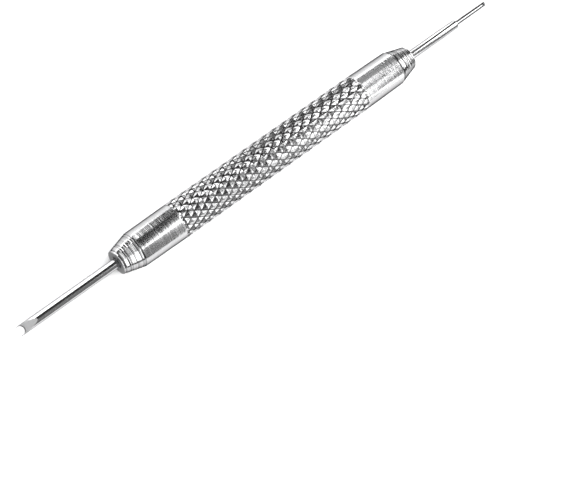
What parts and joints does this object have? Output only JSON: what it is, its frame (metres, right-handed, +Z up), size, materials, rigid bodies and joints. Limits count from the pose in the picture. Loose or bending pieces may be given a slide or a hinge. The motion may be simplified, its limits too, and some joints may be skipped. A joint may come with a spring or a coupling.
{
  "type": "spring bar tool",
  "caption": "Slim knurled hand tool with turned noses, a screw-in notched fork blade at one end and a screw-in stepped pin at the other, for compressing watch strap spring bars.",
  "frame": {"origin": "middle of the knurled grip, on the tool's axis", "axes": "+X along the tool's axis from the fork to the pin, +Z up when the tool is held level, with the fork's ground flats facing up and down"},
  "size_m": [0.104, 0.0066, 0.0066],
  "materials": {
    "handle_steel": "bright turned and knurled, nickel plated",
    "tip_steel": "polished, ground at the fork"
  },
  "bodies": {
    "handle": {"handle": "handle_steel"},
    "fork_tip": {"fork_tip": "tip_steel"},
    "pin_tip": {"pin_tip": "tip_steel"}
  },
  "joints": [
    {"name": "fork_tip_unscrew", "type": "slide", "parent": "handle", "child": "fork_tip", "axis": [-1, 0, 0], "range_m": [0, 0.01]},
    {"name": "pin_tip_unscrew", "type": "slide", "parent": "handle", "child": "pin_tip", "axis": [1, 0, 0], "range_m": [0, 0.01]}
  ]
}
